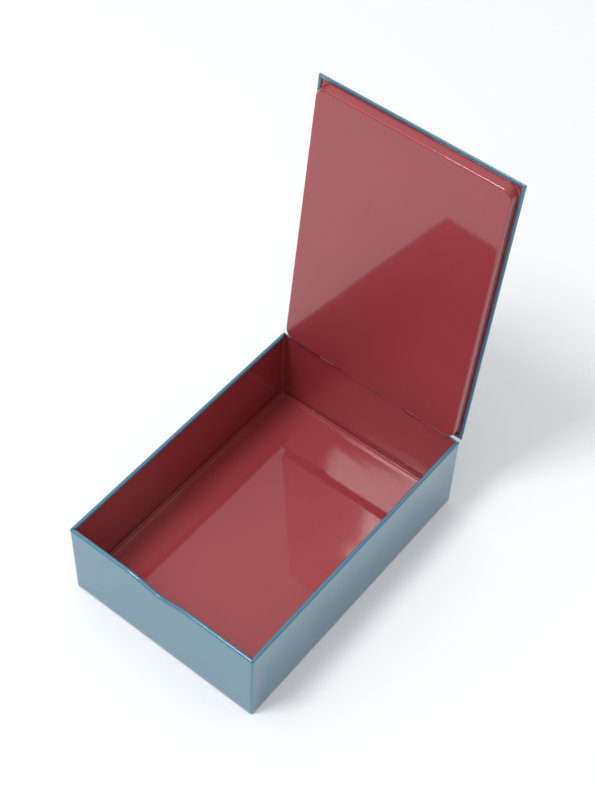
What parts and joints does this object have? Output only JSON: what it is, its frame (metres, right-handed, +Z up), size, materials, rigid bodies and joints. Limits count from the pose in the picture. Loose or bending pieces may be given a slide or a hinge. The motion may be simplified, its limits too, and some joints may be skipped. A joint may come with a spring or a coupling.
{
  "type": "hinged tin box",
  "caption": "Shallow rectangular tin box with a rolled rim that dips at the front for a finger, and a flat hinged lid whose raised inner panel drops into the mouth.",
  "frame": {"origin": "middle of the underside of the bottom plate", "axes": "+X to the right of the box, +Y from the dipped front wall towards the hinges, +Z up"},
  "size_m": [0.1, 0.1608, 0.1874],
  "materials": {
    "blue_lacquer": "glossy metallic grey-blue lacquer on tinplate, outside of box and lid",
    "red_lacquer": "glossy crimson lacquer on tinplate, inside of box and lid",
    "steel_wire": "bare drawn steel wire"
  },
  "bodies": {
    "box": {"box_wall": "blue_lacquer", "box_bottom": "red_lacquer", "hinge_pin_left": "steel_wire", "hinge_pin_right": "steel_wire"},
    "lid": {"lid_skin": "blue_lacquer", "lid_panel": "red_lacquer"}
  },
  "joints": [
    {"name": "lid_hinge", "type": "hinge", "parent": "box", "child": "lid", "pos_m": [0, 0.0724, 0.0437], "axis": [1, 0, 0], "range_deg": [0, 96]}
  ]
}
